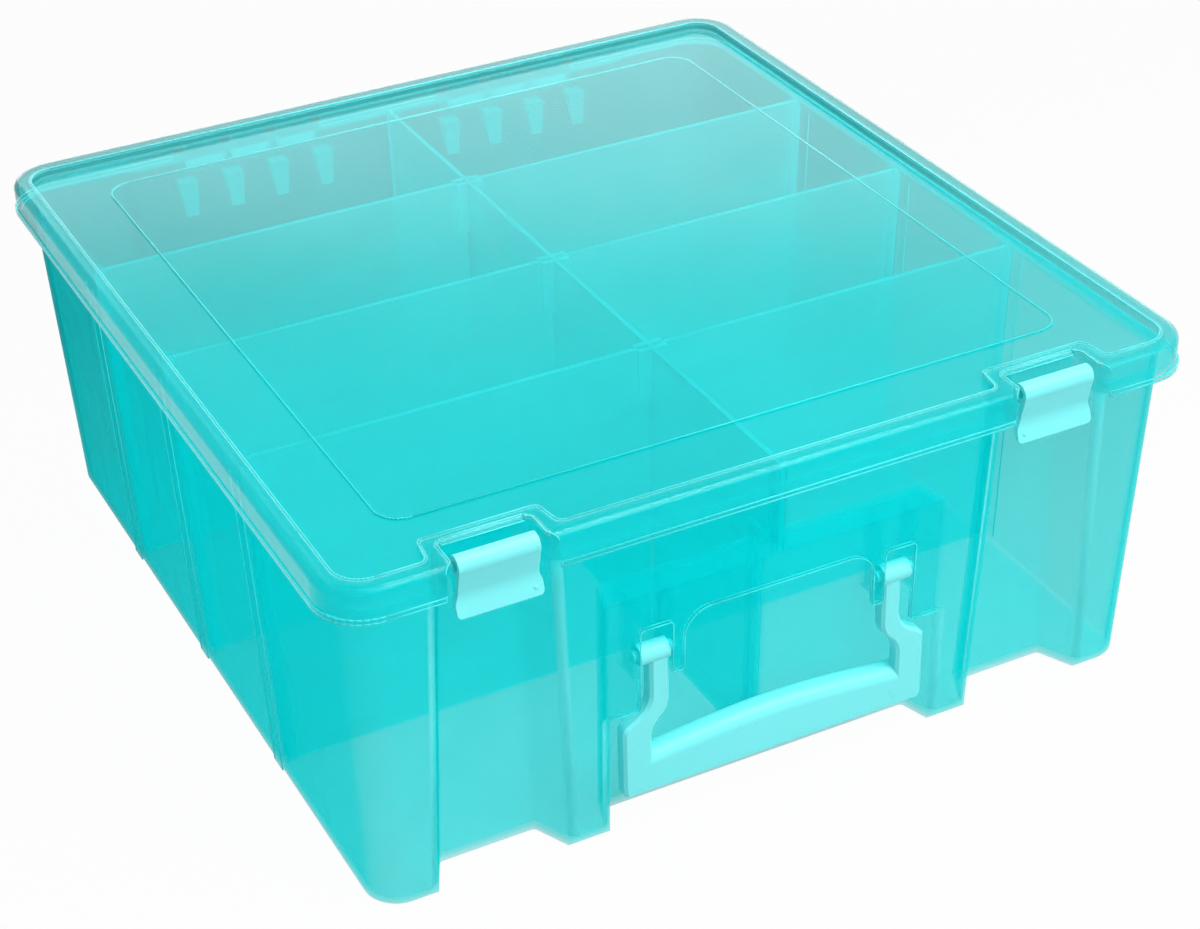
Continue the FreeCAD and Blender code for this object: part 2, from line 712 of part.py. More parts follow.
def make_latch(name):
    sign = SIDES[name]
    centre = f"{sign} * latch_centre"
    side = new_body(f"latch_{name}_side")
    plate = outline(side, f"latch_{name}_plate", "YZ_Plane", [latch_profile()], centre)
    pad(side, plate, "latch_lip_width", middle=True)
    knuckle = disc(side, f"latch_{name}_knuckle", "YZ_Plane", (BAR_Y, BAR_Z), "latch_knuckle", centre)
    pad(side, knuckle, "latch_lip_width", middle=True)
    barb_top = "(keeper_height - latch_gap)"
    barb_root = f"({LATCH_BACK} - latch_wall / 2)"
    barb = [(barb_root, barb_top), (barb_root, f"({barb_top} - 2 * latch_barb)"),
            (f"({LATCH_BACK} + latch_barb)", barb_top)]
    sketch = outline(side, f"latch_{name}_barb", "YZ_Plane", [barb], centre)
    pad(side, sketch, "barb_width", middle=True)
    bore = disc(side, f"latch_{name}_bore", "YZ_Plane", (BAR_Y, BAR_Z), "(bar_radius + latch_fit)", centre)
    pocket(side, bore, "2 * latch_lip_width", middle=True)
    face = new_body(f"latch_{name}_face")
    bottom = f"({BAR_Z} - latch_drop)"
    shoulder = f"({bottom} + latch_lip_height)"
    half = [("latch_width / 2", f"({BAR_Z} + latch_knuckle + overrun)"),
            ("latch_width / 2", f"({shoulder} + latch_lip_height / 2)", "latch_lip_height"),
            ("latch_lip_width / 2", shoulder, "latch_lip_height"),
            ("latch_lip_width / 2", f"({bottom} + latch_crown)", "latch_wall")]
    loop = [(f"{centre} + {corner[0]}",) + corner[1:] for corner in half]
    loop.append((centre, f"({bottom} - latch_crown)", "latch_lip_width"))
    loop += [(f"{centre} - {corner[0]}",) + corner[1:] for corner in reversed(half)]
    front = outline(face, f"latch_{name}_front", "XZ_Plane", [loop], "lid_depth / 2")
    pad(face, front, "2 * notch_depth", middle=True)
    latch = doc.addObject("Part::MultiCommon", f"latch_{name}")
    latch.Shapes = [side, face]
    return latch


# Handle

def make_arms():
    """Two arms that bend outwards to the grip, each with a boss and a trunnion at its upper end."""
    body = new_body("handle_arms")
    arm_in = "(handle_span - arm_offset - arm_width / 2)"
    arm_out = "(handle_span - arm_offset + arm_width / 2)"
    foot_in = "(handle_half - foot_width)"
    inner = [
        (arm_in, "pivot_height"), (arm_in, "(elbow_high - elbow_inset)", "elbow_round"),
        (foot_in, "(elbow_low - elbow_inset)", "elbow_round"),
        (foot_in, "grip_low + arm_width"),
    ]
    outer = [
        ("handle_half", "grip_low", "arm_round"), ("handle_half", "elbow_low", "shoulder_round"),
        (arm_out, "elbow_high", "elbow_round"), (arm_out, "pivot_height"),
    ]
    right = outer + inner
    left = [(f"-{corner[0]}",) + corner[1:] for corner in reversed(right)]
    pad(body, outline(body, "arms", "XZ_Plane", [right + left], f"-{PIVOT_Y}"), "arm_depth", middle=True)
    across = value(PIVOT_Y)
    beside = value("arm_depth / 4")
    bevel_edges(body, "arm_bevel", lambda edge: edge.BoundBox.YLength < 0.01
                and abs(edge.BoundBox.YMin - across) > beside)
    axis = (PIVOT_Y, "pivot_height")
    for name, sign in SIDES.items():
        place = f"{sign} * handle_span"
        sketch = disc(body, f"boss_{name}", "YZ_Plane", axis, "boss_radius", place)
        pad(body, sketch, "(slot_width - 2 * boss_gap)", middle=True)
        sketch = disc(body, f"trunnion_{name}", "YZ_Plane", axis, "trunnion_radius", place)
        pad(body, sketch, "(slot_width + 2 * trunnion_reach)", middle=True)
    return body


def make_grip():
    """The fat rounded grip, arched along its upper side."""
    body = new_body("handle_grip")
    reach = "(handle_half - arm_width / 2)"
    plan = [
        (f"-{reach}", "grip_low"), (reach, "grip_low"), (reach, "grip_end"),
        ("0", "grip_top", "grip_crown"), (f"-{reach}", "grip_end"),
    ]
    sketch = outline(body, "grip", "XZ_Plane", [plan], f"-({PIVOT_Y} - arm_depth / 2)")
    pad(body, sketch, "grip_depth", back=True)
    long_edge = value("handle_half / 4")
    round_edges(body, "grip_round", lambda edge: edge.BoundBox.XLength > long_edge)
    return body


def make_handle():
    handle = doc.addObject("Part::MultiFuse", "carry_handle")
    handle.Shapes = [make_arms(), make_grip()]
    return handle


# Dividers

DIVIDER_LOW = "(floor_wall + slot_gap)"


def make_centre_divider():
    """The long divider. Its front edge steps over the handle bay, and tabs guide the cross dividers."""
    body = new_body("centre_divider")
    gap = "(wall + divider_gap)"
    bay = "(bay_depth + wall + divider_gap)"
    rear = "(rear_depth + wall + divider_gap)"
    ledge = "(shelf_height + wall + divider_gap)"
    profile = [
        (f"-{half_y(DIVIDER_LOW, bay)}", DIVIDER_LOW, "divider_foot_round"),
        (f"{half_y(DIVIDER_LOW, rear)}", DIVIDER_LOW, "divider_foot_round"),
        (f"{half_y('divider_top', rear)}", "divider_top"),
        (f"-{half_y('divider_top', gap)}", "divider_top"),
        (f"-{half_y(ledge, gap)}", ledge),
        (f"-{half_y(ledge, bay)}", ledge),
    ]
    pad(body, outline(body, "centre_plate", "YZ_Plane", [profile]), "divider_wall", middle=True)
    beside = "(divider_wall / 2 + slot_gap)"
    tabs = []
    for station in STATIONS:
        for sign in (-1, 1):
            ends = [f"({station_y(station)} + {sign} * ({beside} + {far} * divider_wall))" for far in (0, 1)]
            low, high = sorted(ends, key=value)
            tabs.append(rectangle(low, "(divider_top - tab_height)", high, "divider_top"))
    sketch = outline(body, "tabs", "YZ_Plane", tabs)
    pad(body, sketch, "(divider_wall + 2 * tab_reach)", middle=True)
    return body


def make_cross_divider(side, station):
    """A cross divider, from its slot in the side wall to the tabs of the centre divider."""
    sign = SIDES[side]
    body = new_body(f"cross_divider_{side}_{station}")
    gap = "(wall + divider_gap)"
    inner = "(divider_wall / 2 + divider_gap)"
    corners = [
        (inner, DIVIDER_LOW), (half_x(DIVIDER_LOW, gap), DIVIDER_LOW, "divider_foot_round"),
        (half_x("divider_top", gap), "divider_top", "divider_foot_round"),
        (inner, "divider_top", "divider_round"),
    ]
    profile = [(f"{sign} * {corner[0]}",) + corner[1:] for corner in corners]
    sketch = outline(body, f"plate_{side}_{station}", "XZ_Plane", [profile], f"-{station_y(station)}")
    pad(body, sketch, "divider_wall", middle=True)
    return body


def write_parts(parts):
    doc.recompute()
    for feature in doc.Objects:
        if {"Invalid", "Error"} & set(feature.State):
            raise RuntimeError(f"{feature.Name} failed: {feature.State}")
    for part in parts:
        if part.Shape.isNull() or not part.Shape.isValid() or len(part.Shape.Solids) != 1:
            raise RuntimeError(f"{part.Label} is not one sound solid")
    os.makedirs("parts", exist_ok=True)
    for part in parts:
        part.Shape.exportStep(f"parts/{part.Label}.step")
        print(part.Label, round(part.Shape.Volume), part.Shape.BoundBox)


sub_parts = [make_tub(), make_lid(), make_handle(), make_centre_divider()]
sub_parts += [make_latch(side) for side in SIDES]
sub_parts += [make_cross_divider(side, station) for side in SIDES for station in STATIONS]
write_parts(sub_parts)
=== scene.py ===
import math

import bmesh
import bpy
from mathutils import Matrix, Vector
from mathutils.bvhtree import BVHTree


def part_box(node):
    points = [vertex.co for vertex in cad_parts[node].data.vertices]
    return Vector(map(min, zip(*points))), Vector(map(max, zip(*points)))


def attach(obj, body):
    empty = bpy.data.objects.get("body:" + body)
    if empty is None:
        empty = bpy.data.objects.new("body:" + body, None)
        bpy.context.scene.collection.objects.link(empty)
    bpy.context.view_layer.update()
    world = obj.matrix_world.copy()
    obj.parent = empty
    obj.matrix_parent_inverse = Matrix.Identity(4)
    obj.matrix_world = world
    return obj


# The craft storage box in milky aqua polypropylene, on a white studio floor.
# Metres, +Z up, front at -Y.

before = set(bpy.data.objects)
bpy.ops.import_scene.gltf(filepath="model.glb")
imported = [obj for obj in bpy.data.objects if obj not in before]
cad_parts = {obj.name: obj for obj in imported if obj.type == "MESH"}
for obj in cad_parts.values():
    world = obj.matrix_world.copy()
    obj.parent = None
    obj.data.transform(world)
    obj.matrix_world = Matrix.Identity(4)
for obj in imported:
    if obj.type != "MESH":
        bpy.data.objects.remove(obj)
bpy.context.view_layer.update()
scene = bpy.context.scene
scene.view_settings.view_transform = "Standard"
# A look through the box crosses many thin walls, two faces each.
scene.cycles.transparent_max_bounces = 48


# Camera
IMAGE_WIDTH = 1200
EYE = Vector((-0.4200, -0.8701, 0.6536))
TARGET = Vector((-0.012233, -0.045776, 0.075866))
ROLL = math.radians(-1.71)
LENS_MM = 77.59
SENSOR_MM = 36.0
SHIFT_X = 12.73 / IMAGE_WIDTH

# Colours, the plastic's and those of the painted highlights and painted shade in its edges, as the
# two shades between which each one drifts
AQUA = ((0.002, 0.80, 0.82), (0.005, 0.86, 0.88))
PALE_AQUA = ((0.225, 0.86, 0.88), (0.245, 0.885, 0.90))
# Painted highlight: soft bands of light in the lid's rim and the ribs' rounded edges.
GLINT = ((0.40, 0.94, 0.95), (0.62, 0.98, 0.98))
# Painted highlight: the pale lines of light in sharp edges.
PAINTED_EDGE_HIGHLIGHT = ((0.10, 0.84, 0.86), (0.17, 0.89, 0.91))
# Painted shade: the deep line along the step at the edge of the lid's raised field.
PAINTED_EDGE_SHADE = ((0.001, 0.66, 0.69), (0.003, 0.73, 0.76))
DYE = (0.0, 0.92, 0.92, 1.0)
WHITE = (1.0, 1.0, 1.0, 1.0)

# Skin reflection: tint, share seen straight on, share added at grazing angles
AQUA_SKIN = ((0.01, 0.75, 0.79), 0.014, 0.30)
PALE_SKIN = ((0.85, 0.98, 1.0), 0.010, 0.80)
SKIN_BLEND = 0.5
SKIN_POWER = 5.0

# Surface and body of all the plastic
PLASTIC_IOR = 1.49
NOISE_MIDDLE = (0.3, 0.7)
NOISE_DETAIL = 4.0
SHADE_SCALE = 14.0
GRAIN_SCALE = 900.0
GRAIN_DETAIL = 2.0
GRAIN_STRENGTH = 0.25
GRAIN_FINENESS = 6
WAVE_STRENGTH = 0.35

# Clear plastic
CLEAR_FLOW_SCALE = 22.0
CLEAR_FLOW_DETAIL = 2.0
CLEAR_BACKLIGHT = 0.45
CLEAR_SHINE = 0.0

# Almost opaque plastic
SOLID_FLOW_SCALE = 45.0
SOLID_FLOW_DETAIL = 3.0
SOLID_FLOW_AXIS = (1.0, 0.4, 0.4)
SOLID_GLOSS_SCALE = 90.0
SOLID_BACKLIGHT = 0.25
SOLID_SHINE = 0.22

# Edges of the CAD nodes: gap that is welded, and angles in degrees between their faces
WELD_GAP = 2e-6
SHARP_EDGES = (30, 170)
ROUNDED_EDGES = (3, 45)
UPRIGHT_RISE = 0.03

# Edges of the lid
LID_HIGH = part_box("lid")[1]
LIP_TOP = 0.1426
PANEL_TOP = 0.1512
RIM_TOP = 0.1538
OUTLINE_SLACK = 0.001
CORNER_SLACK = 0.014
FIELD_LOW = Vector((-0.1475, -0.1545))
FIELD_HIGH = Vector((0.1475, 0.1600))

# Edges of the tub and the dividers
SHROUD_FACE = -0.1795
SHROUD_HEIGHTS = (0.050, 0.0965)
SHROUD_HALF = 0.0765
SIDE_PAD_FACE = 0.1715
SIDE_PAD_REACH = 0.15
RIB_FACE = -0.175
RIB_REACH = 0.155
RIB_FRONTWARD = -0.2
RIB_EDGE_GAP = 0.008
RIB_END_SPAN = 0.002
DIVIDER_TOP = 0.1468

# Light drawn in edges; soft bands have half widths and half depths
EDGE_SIDES = 4
RIM_GLOW_SIDES = 8
RIM_GLOW_DEPTH = 0.0012
RIM_GLOWS = ((0.0010, 0.0003), (0.0006, 0.0002))
RIB_GLINT_SIDES = 12
RIB_GLINT_DEPTH = 0.0014
RIB_GLINT_ENDS = (0.0040, 0.1365)
RIB_GLINTS = ((0.0024, 0.0004), (0.0017, 0.0003), (0.0009, 0.0002))

# Hinge gussets: the profile of their flanks in y and z, and their half width from foot to top
GUSSETS_PER_HINGE = 4
GUSSET_INNER = 0.0330
GUSSET_PITCH = 0.0225
FLANK_FOOT = 0.1158
FLANK_RISE = 0.0167
FLANK_PROFILE = ((0.1811, FLANK_FOOT), (0.1816, 0.1325), (0.1884, 0.1325), (0.1872, 0.1290))
FLANK_HALF_WIDTH = 0.0030
FLANK_FLARE = 0.0012

# Latch dots
DOT_X, DOT_Z = 0.1045, 0.1316
DOT_RADIUS = 0.0010
DOT_RISE = 0.0005
DOT_SUNK_SHARE = 0.2
DOT_RINGS, DOT_SPOKES = 4, 12
BEFORE_FRONT = -0.25

# Studio
BRIGHT_SIDE = (0.6, -0.45, 0.75)
LEAN_RANGE = (-0.6, 0.9)
LIGHT_LEVELS = (0.08, 0.92)
FLOOR_HALF = 6.0
FLOOR_DROP = 0.0005
# Painted shade: the floor's matte goes from the first shade at the front to the darker second
# towards the rear, over this span in y.
FLOOR_PAINTED_FALLOFF_SHADES = ((0.50, 0.50, 0.50), (0.15, 0.15, 0.15))
FLOOR_PAINTED_FALLOFF_SPAN = (-0.20, 0.32)
FLOOR_MOTTLE_SCALE = 3.0
FLOOR_MOTTLE = 0.1
FLOOR_GLOW = 0.97
# Painted light: the share of glow in the floor seen through the plastic, full at the front and
# fading out towards the rear.
FLOOR_PAINTED_GLOW_THROUGH = 0.60
# A count of crossed clear faces that is below this is none.
NOTHING_BETWEEN = 0.5
# Lamps: place, aim, size, watts
LAMPS = {
    "key": ((0.9, -1.5, 1.9), (0.0, 0.0, 0.08), (1.6, 1.2), 41.0),
    "overhead": ((0.2, -0.5, 2.0), (0.0, -0.1, 0.1), (1.6, 1.6), 15.5),
    "rear_panel": ((0.9, 1.9, 0.62), (0.0, 0.1, 0.15), (2.6, 1.1), 27.0),
    "sheen_panel": ((0.75, -0.16, 2.0), (0.0, -0.19, 0.15), (1.4, 0.7), 32.0),
}
# These panels are seen only in gloss.
GLOSS_PANELS = ("rear_panel", "sheen_panel")


# Node helpers

def new_material(name):
    material = bpy.data.materials.new(name)
    material.use_nodes = True
    tree = material.node_tree
    tree.nodes.clear()
    return material, tree


def node(tree, kind, inputs=None, **settings):
    """Makes a node. Each input that is named gets a link from a socket, or a plain value."""
    made = tree.nodes.new(kind)
    for key, setting in settings.items():
        setattr(made, key, setting)
    for socket, source in (inputs or {}).items():
        if isinstance(source, bpy.types.NodeSocket):
            tree.links.new(source, made.inputs[socket])
        else:
            made.inputs[socket].default_value = source
    return made


def noise(tree, place, scale, detail=NOISE_DETAIL, stretch=None):
    """A noise pattern over the object's own metres, stretched along an axis if asked."""
    if stretch:
        mapping = node(tree, "ShaderNodeMapping", {"Vector": place, "Scale": stretch})
        place = mapping.outputs["Vector"]
    pattern = node(tree, "ShaderNodeTexNoise", {"Vector": place, "Scale": scale, "Detail": detail})
    return pattern.outputs["Fac"]


def map_range(tree, source, given, wanted):
    """Maps one range of numbers to another, and stops at its ends."""
    ranged = node(tree, "ShaderNodeMapRange", {
        "Value": source,
        "From Min": given[0], "From Max": given[1],
        "To Min": wanted[0], "To Max": wanted[1],
    })
    return ranged.outputs["Result"]


def blend_colours(tree, fac, first, second):
    mix = node(tree, "ShaderNodeMix", {
        "Factor": fac, "A": (*first, 1.0), "B": (*second, 1.0),
    }, data_type="RGBA")
    return mix.outputs["Result"]


def blend_shaders(tree, fac, first, second):
    mix = node(tree, "ShaderNodeMixShader", {"Fac": fac, 1: first, 2: second})
    return mix.outputs["Shader"]


def calculate(tree, operation, first, second):
    maths = node(tree, "ShaderNodeMath", {0: first, 1: second}, operation=operation)
    return maths.outputs["Value"]


# Plastic

def moulded_normal(tree, place, flow, depth):
    """Fine moulded grain over the faint waves that the flow of the plastic leaves."""
    grain = node(tree, "ShaderNodeBump", {
        "Strength": GRAIN_STRENGTH,
        "Distance": depth / GRAIN_FINENESS,
        "Height": noise(tree, place, GRAIN_SCALE, GRAIN_DETAIL),
    })
    waves = node(tree, "ShaderNodeBump", {
        "Strength": WAVE_STRENGTH,
        "Distance": depth,
        "Height": flow,
        "Normal": grain.outputs["Normal"],
    })
    return waves.outputs["Normal"]


def surface_gloss(tree, normal, roughness, shader, tint, facing_share, grazing_share):
    """Adds the plastic's skin reflection, which grows towards grazing angles, over a shader."""
    layer = node(tree, "ShaderNodeLayerWeight", {"Blend": SKIN_BLEND, "Normal": normal})
    grazing = calculate(tree, "POWER", layer.outputs["Facing"], SKIN_POWER)
    share = calculate(tree, "MULTIPLY", grazing, grazing_share)
    share = calculate(tree, "ADD", share, facing_share)
    gloss = node(tree, "ShaderNodeBsdfGlossy", {
        "Color": (*tint, 1.0), "Roughness": roughness, "Normal": normal,
    })
    return blend_shaders(tree, share, shader, gloss.outputs["BSDF"])


def plastic_body(tree, place, normal, roughness, shades, backlight, shine):
    """The scattering part of the plastic: lit from its own side and, more weakly, from behind."""
    colour = blend_colours(tree, noise(tree, place, SHADE_SCALE), *shades)
    body = node(tree, "ShaderNodeBsdfPrincipled", {
        "IOR": PLASTIC_IOR,
        "Specular IOR Level": shine,
        "Base Color": colour,
        "Roughness": roughness,
        "Normal": normal,
    })
    behind = node(tree, "ShaderNodeBsdfTranslucent", {"Color": colour, "Normal": normal})
    return blend_shaders(tree, backlight, body.outputs["BSDF"], behind.outputs["BSDF"])


def clear_film(tree):
    return node(tree, "ShaderNodeBsdfTransparent", {"Color": WHITE}).outputs["BSDF"]


def clear_plastic(name, shades, haze, gloss, skin, flow_axis, depth, density):
    """Milky see-through polypropylene. Its depth of colour comes from the length of plastic that
    is looked through, and a share of scattering plastic lies in the face of each wall that is met
    first."""
    material, tree = new_material(name)
    place = node(tree, "ShaderNodeTexCoord").outputs["Object"]
    flow = noise(tree, place, CLEAR_FLOW_SCALE, CLEAR_FLOW_DETAIL, flow_axis)
    normal = moulded_normal(tree, place, flow, depth)
    roughness = map_range(tree, flow, NOISE_MIDDLE, gloss)
    body = plastic_body(tree, place, normal, roughness, shades, CLEAR_BACKLIGHT, CLEAR_SHINE)
    clear = clear_film(tree)
    sheet = blend_shaders(tree, map_range(tree, flow, NOISE_MIDDLE, haze), clear, body)
    coated = surface_gloss(tree, normal, roughness, sheet, *skin)
    shadow = node(tree, "ShaderNodeLightPath").outputs["Is Shadow Ray"]
    backfacing = node(tree, "ShaderNodeNewGeometry").outputs["Backfacing"]
    passed = calculate(tree, "MAXIMUM", shadow, backfacing)
    dye = node(tree, "ShaderNodeVolumeAbsorption", {"Color": DYE, "Density": density})
    node(tree, "ShaderNodeOutputMaterial", {
        "Surface": blend_shaders(tree, passed, coated, clear),
        "Volume": dye.outputs["Volume"],
    })
    return material


def solid_plastic(name, shades, gloss, depth, clear_share=0.0):
    """Almost opaque polypropylene, as in the latches and the handle, or light caught in an edge,
    which a clear share makes fainter."""
    material, tree = new_material(name)
    place = node(tree, "ShaderNodeTexCoord").outputs["Object"]
    flow = noise(tree, place, SOLID_FLOW_SCALE, SOLID_FLOW_DETAIL, SOLID_FLOW_AXIS)
    normal = moulded_normal(tree, place, flow, depth)
    roughness = map_range(tree, noise(tree, place, SOLID_GLOSS_SCALE), NOISE_MIDDLE, gloss)
    body = plastic_body(tree, place, normal, roughness, shades, SOLID_BACKLIGHT, SOLID_SHINE)
    if clear_share:
        body = blend_shaders(tree, clear_share, body, clear_film(tree))
    node(tree, "ShaderNodeOutputMaterial", {"Surface": body})
    return material


tub_plastic = clear_plastic(
    "tub_plastic", AQUA, haze=(0.25, 0.31), gloss=(0.23, 0.31), skin=AQUA_SKIN,
    flow_axis=(1.0, 1.0, 0.25), depth=0.00009, density=165.0,
)
lid_plastic = clear_plastic(
    "lid_plastic", AQUA, haze=(0.20, 0.27), gloss=(0.13, 0.18), skin=PALE_SKIN,
    flow_axis=(1.0, 0.3, 1.0), depth=0.00002, density=150.0,
)
divider_plastic = clear_plastic(
    "divider_plastic", AQUA, haze=(0.38, 0.47), gloss=(0.22, 0.36), skin=AQUA_SKIN,
    flow_axis=(0.5, 0.5, 1.6), depth=0.00015, density=320.0,
)
trim_plastic = solid_plastic("trim_plastic", PALE_AQUA, gloss=(0.27, 0.34), depth=0.00003)
# Painted highlight for the threads in the sharp edges of the lid, the shroud, the side pads and the
# divider tops.
painted_edge_highlight = solid_plastic("painted_edge_highlight", PAINTED_EDGE_HIGHLIGHT, gloss=(0.20, 0.30), depth=0.00003)
# Painted shade for the threads along the edge of the lid's raised field.
painted_edge_shade = solid_plastic("painted_edge_shade", PAINTED_EDGE_SHADE, gloss=(0.20, 0.30), depth=0.00003)
# Painted highlight for the soft bands along the lid's rim and the ribs' rounded edges.
soft_glint_plastic = solid_plastic(
    "soft_glint_plastic", GLINT, gloss=(0.16, 0.26), depth=0.00005, clear_share=0.78,
)

FINISHES = {
    "base_tub": tub_plastic,
    "lid": lid_plastic,
    "latch_left": trim_plastic,
    "latch_right": trim_plastic,
    "carry_handle": trim_plastic,
}
for name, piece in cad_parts.items():
    piece.data.materials.clear()
    piece.data.materials.append(FINISHES.get(name, divider_plastic))


# Small detail

def add_piece(name, built, material, body, smooth=True):
    """Makes a piece from a bmesh, which is freed."""
    bmesh.ops.recalc_face_normals(built, faces=built.faces)
    mesh = bpy.data.meshes.new(name)
    built.to_mesh(mesh)
    built.free()
    piece = bpy.data.objects.new(name, mesh)
    scene.collection.objects.link(piece)
    mesh.materials.append(material)
    for polygon in mesh.polygons:
        polygon.use_smooth = smooth
    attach(piece, body)


def add_thread(threads, start, stop, inward, half_width, half_depth, sides):
    """One straight closed thread of light along an edge, shifted inwards."""
    along = (stop - start).normalized()
    across = inward.normalized()
    aside = along.cross(across)
    rings = []
    for end in (start, stop):
        ring = []
        for turn in range(sides):
            angle = 2 * math.pi * turn / sides
            spoke = across * math.cos(angle) * half_depth + aside * math.sin(angle) * half_width
            ring.append(threads.verts.new(end + inward + spoke))
        rings.append(ring)
    for turn in range(sides):
        after = (turn + 1) % sides
        threads.faces.new((rings[0][turn], rings[0][after], rings[1][after], rings[1][turn]))
    threads.faces.new(rings[0])
    threads.faces.new(rings[1])


def convex_edges(source, angles):
    """The convex edges of a CAD node with their two face normals, between two angles."""
    low, high = (math.radians(angle) for angle in angles)
    solid = bmesh.new()
    solid.from_mesh(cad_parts[source].data)
    bmesh.ops.remove_doubles(solid, verts=solid.verts, dist=WELD_GAP)
    found = []
    for edge in solid.edges:
        if len(edge.link_faces) == 2 and edge.is_convex:
            first, second = (face.normal.copy() for face in edge.link_faces)
            if low <= first.angle(second, 0.0) <= high:
                found.append((*(v.co.copy() for v in edge.verts), first, second))
    solid.free()
    return found


def add_edge_glints(name, source, body, wanted, material, radius):
    """The threads that light draws in the sharp edges of clear plastic, just inside each edge."""
    threads = bmesh.new()
    for start, stop, first, second in convex_edges(source, SHARP_EDGES):
        if wanted(start, stop):
            inward = -(first + second) / (1 + first.dot(second)) * radius
            add_thread(threads, start, stop, inward, radius, radius, EDGE_SIDES)
    add_piece(name, threads, material, body)


def on_field(first, second):
    """True for the edges of the embossed field in the lid."""
    inside = all(
        FIELD_LOW.x < point.x < FIELD_HIGH.x and FIELD_LOW.y < point.y < FIELD_HIGH.y
        for point in (first, second)
    )
    return inside and min(first.z, second.z) > PANEL_TOP


def on_lid_outline(first, second):
    """True for the edges of the raised rim and the lip at the foot of the skirt."""
    if min(first.z, second.z) > PANEL_TOP:
        return not on_field(first, second)
    at_side = min(abs(first.x), abs(second.x)) > LID_HIGH.x - OUTLINE_SLACK
    at_end = min(abs(first.y), abs(second.y)) > LID_HIGH.y - OUTLINE_SLACK
    at_corner = min(first.xy.length, second.xy.length) > LID_HIGH.xy.length - CORNER_SLACK
    return max(first.z, second.z) < LIP_TOP and (at_side or at_end or at_corner)


def on_shroud(first, second):
    """True for the edges of the plate in front of the handle."""
    mid = (first + second) / 2
    low, high = SHROUD_HEIGHTS
    return mid.y < SHROUD_FACE and low < mid.z < high and abs(mid.x) < SHROUD_HALF


def on_side_pad(first, second):
    """True for the upright edges of the pads on the side walls."""
    mid = (first + second) / 2
    upright = abs(first.z - second.z) > UPRIGHT_RISE
    return upright and abs(mid.x) > SIDE_PAD_FACE and abs(mid.y) < SIDE_PAD_REACH


def on_divider_top(first, second):
    """True for the edges at the top of a divider."""
    return min(first.z, second.z) > DIVIDER_TOP


def add_rim_glow():
    """The soft band of light along the edges at the top of the lid's raised rim."""
    threads = bmesh.new()
    for start, stop, first, second in convex_edges("lid", SHARP_EDGES):
        if min(start.z, stop.z) > RIM_TOP:
            inward = (first + second).normalized() * -RIM_GLOW_DEPTH
            for half_width, half_depth in RIM_GLOWS:
                add_thread(threads, start, stop, inward, half_width, half_depth, RIM_GLOW_SIDES)
    add_piece("lid_rim_glow", threads, soft_glint_plastic, "lid")


def on_rounded_rib(start, stop, outward):
    """True for the upright facets of the rounded edges of the front ribs and corner columns."""
    mid = (start + stop) / 2
    upright = abs(stop.z - start.z) > UPRIGHT_RISE
    in_front = mid.y < RIB_FACE and abs(mid.x) < RIB_REACH
    return upright and in_front and outward.y < RIB_FRONTWARD


def rounded_rib_edges():
    """Where those edges run, each as its lower end, its upper end and its outward direction."""
    groups = []
    facets = convex_edges("base_tub", ROUNDED_EDGES)
    for start, stop, first, second in sorted(facets, key=lambda row: row[0].x + row[1].x):
        outward = (first + second).normalized()
        if on_rounded_rib(start, stop, outward):
            middle = (start + stop) / 2
            if not groups or middle.x - groups[-1][-1][0].x > RIB_EDGE_GAP:
                groups.append([])
            groups[-1] += [(start, outward), (stop, outward)]
    for group in groups:
        outward = sum((row[1] for row in group), Vector()).normalized()
        heights = [row[0].z for row in group]
        low, high = (
            [row[0] for row in group if abs(row[0].z - level) < RIB_END_SPAN]
            for level in (min(heights), max(heights))
        )
        foot, head = sum(low, Vector()) / len(low), sum(high, Vector()) / len(high)
        bottom, top = (
            foot.lerp(head, min(1.0, max(0.0, (level - foot.z) / (head.z - foot.z))))
            for level in RIB_GLINT_ENDS
        )
        yield bottom, top, outward


def add_rib_glints():
    """The soft wide bands of light down those edges, as threads inside one another in the wall."""
    threads = bmesh.new()
    for bottom, top, outward in rounded_rib_edges():
        inward = outward * -RIB_GLINT_DEPTH
        for half_width, half_depth in RIB_GLINTS:
            add_thread(threads, bottom, top, inward, half_width, half_depth, RIB_GLINT_SIDES)
    add_piece("rib_edge_glints", threads, soft_glint_plastic, "base")


def flank_half_width(z):
    return FLANK_HALF_WIDTH + FLANK_FLARE * (z - FLANK_FOOT) / FLANK_RISE


def add_gusset_flanks():
    """The thick tapered flanks of the hinge gussets, between the rear wall and the pins."""
    flanks = bmesh.new()
    corners = len(FLANK_PROFILE)
    for sign in (-1, 1):
        for leaf in range(GUSSETS_PER_HINGE):
            middle = sign * (GUSSET_INNER + GUSSET_PITCH * leaf)
            left, right = (
                [
                    flanks.verts.new((middle + way * flank_half_width(z), y, z))
                    for y, z in FLANK_PROFILE
                ]
                for way in (-1, 1)
            )
            flanks.faces.new(left)
            flanks.faces.new(reversed(right))
            for corner in range(corners):
                after = (corner + 1) % corners
                flanks.faces.new((left[after], left[corner], right[corner], right[after]))
    add_piece("hinge_gusset_flanks", flanks, divider_plastic, "base", smooth=False)


